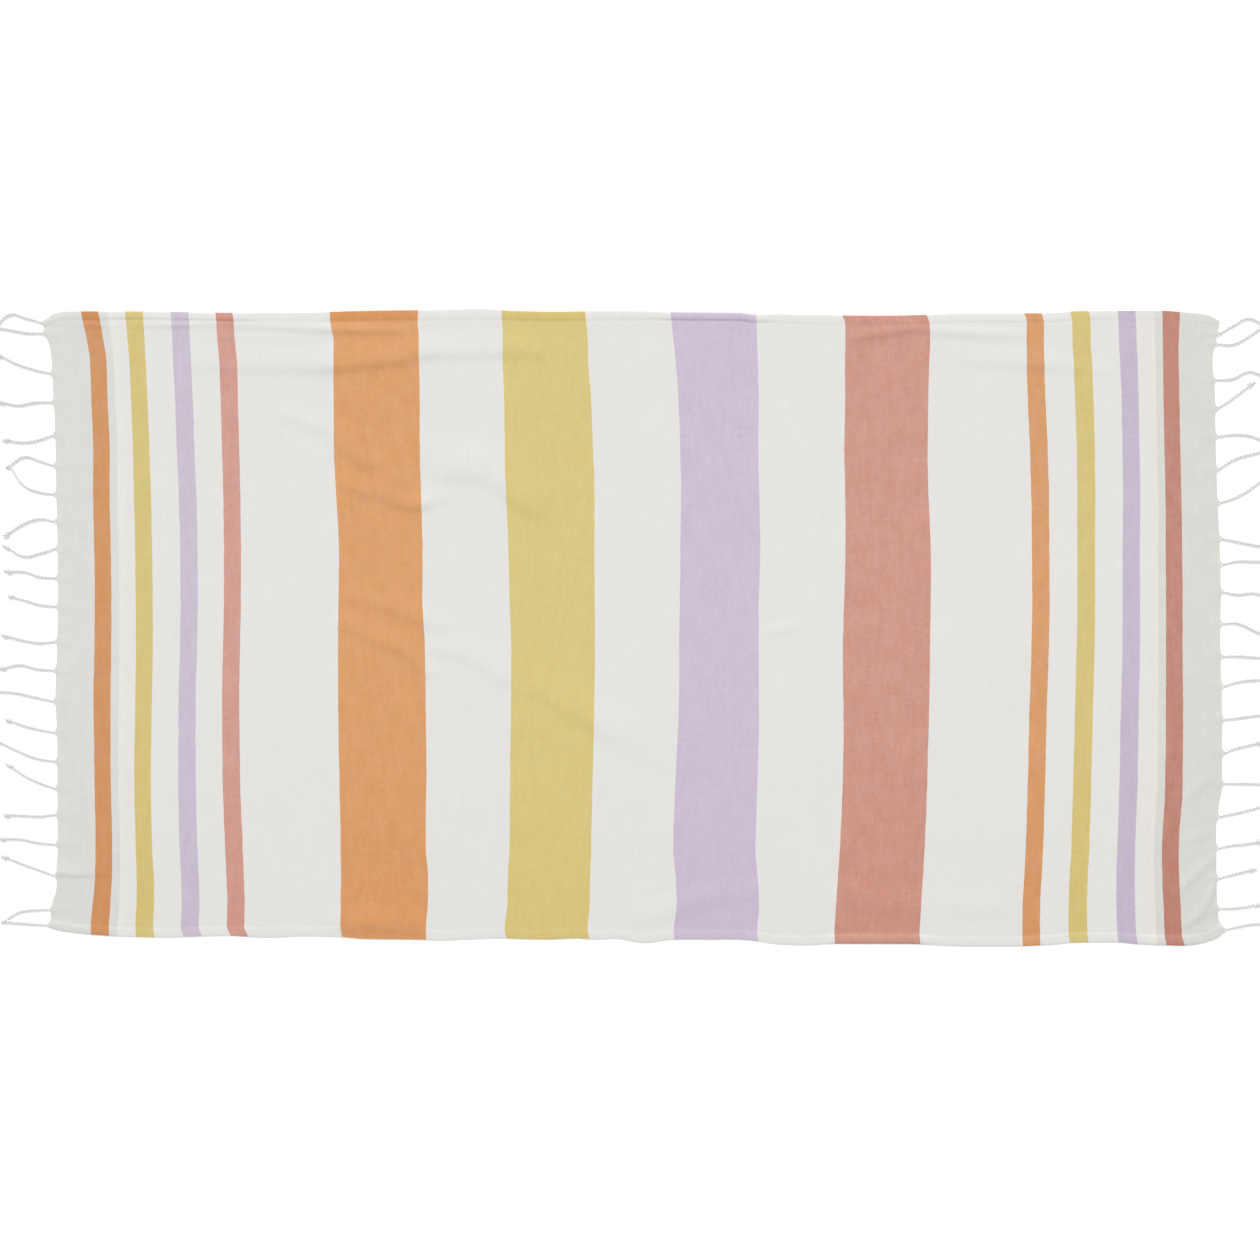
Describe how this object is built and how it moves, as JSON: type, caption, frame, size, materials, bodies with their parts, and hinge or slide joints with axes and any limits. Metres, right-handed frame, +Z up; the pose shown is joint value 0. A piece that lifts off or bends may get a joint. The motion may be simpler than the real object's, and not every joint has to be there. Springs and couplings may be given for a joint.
{
  "type": "fringed beach towel",
  "caption": "Flat-woven striped cotton beach towel lying flat, hemmed along its long sides, with a knotted fringe at each short end.",
  "frame": {"origin": "under the middle of the cloth, on the surface that it lies on", "axes": "+X along the towel's length, from the end with the orange narrow stripe outermost to the end with the coral one; +Y across it; +Z up, out of the face"},
  "size_m": [1.8578, 0.9157, 0.005],
  "materials": {
    "striped_cotton_cloth": "flat-woven cotton, matt, off-white ground with orange, yellow, lilac and coral stripes",
    "cotton_yarn": "twisted undyed cotton yarn, matt"
  },
  "bodies": {
    "root": {"cloth": "striped_cotton_cloth", "fringe_left": "cotton_yarn", "fringe_right": "cotton_yarn"}
  },
  "joints": []
}
